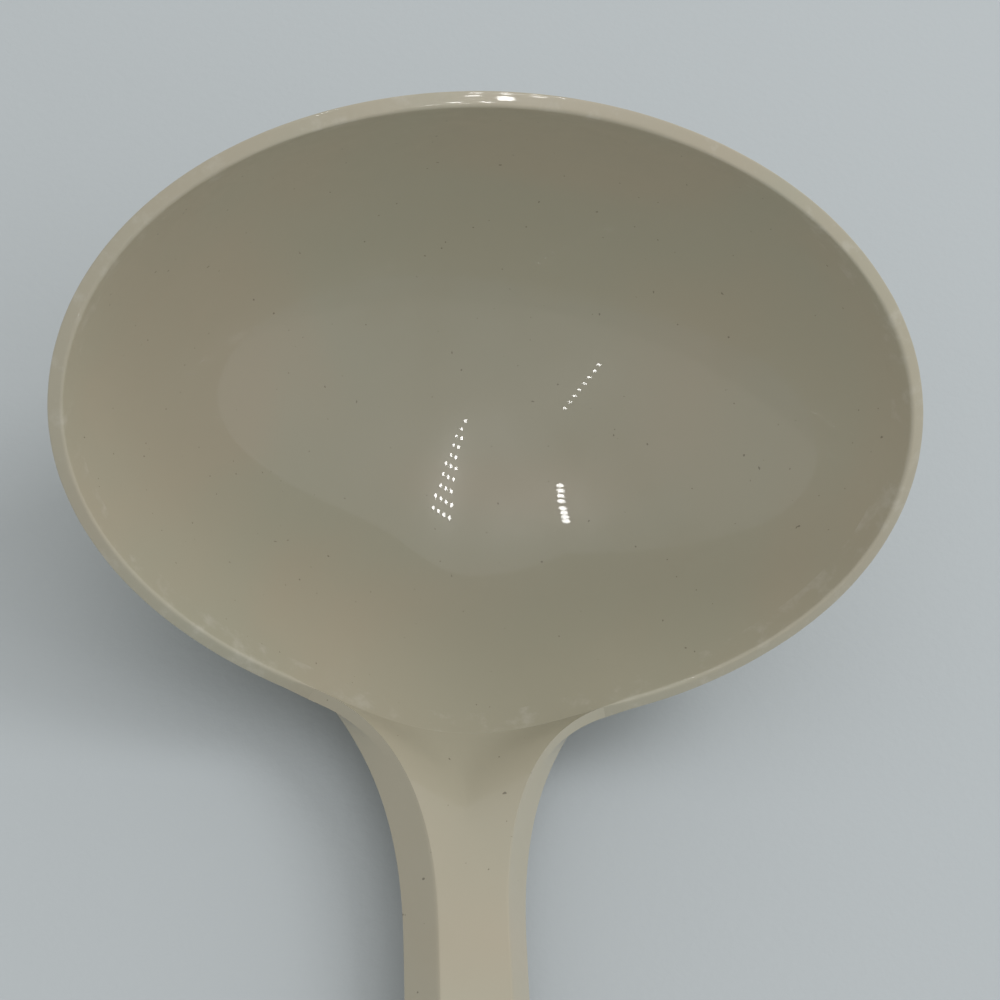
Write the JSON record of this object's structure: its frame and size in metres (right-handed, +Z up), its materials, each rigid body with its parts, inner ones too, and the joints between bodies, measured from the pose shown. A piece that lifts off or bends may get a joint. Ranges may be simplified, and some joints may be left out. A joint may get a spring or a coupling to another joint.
{
  "type": "ladle",
  "caption": "One-piece moulded soup ladle with an oval bowl, a square-cut rim, a flared shoulder and a long flat handle with a hanging hole, resting on its bowl and handle end.",
  "frame": {"origin": "on the table, under the middle of the ladle's bounding box as it lies at rest", "axes": "+X runs across the handle, +Y from the handle's end to the bowl, +Z up from the table"},
  "size_m": [0.096, 0.2538, 0.0602],
  "materials": {
    "bowl_plastic": "glossy warm cream, polished by use inside",
    "rim_plastic": "glossy warm cream with small nicks along the edges",
    "handle_plastic": "glossy warm cream with a few specks"
  },
  "bodies": {
    "root": {"bowl": "bowl_plastic", "rim": "rim_plastic", "handle_root": "handle_plastic", "handle_shank": "handle_plastic", "handle_end": "handle_plastic"}
  },
  "joints": []
}
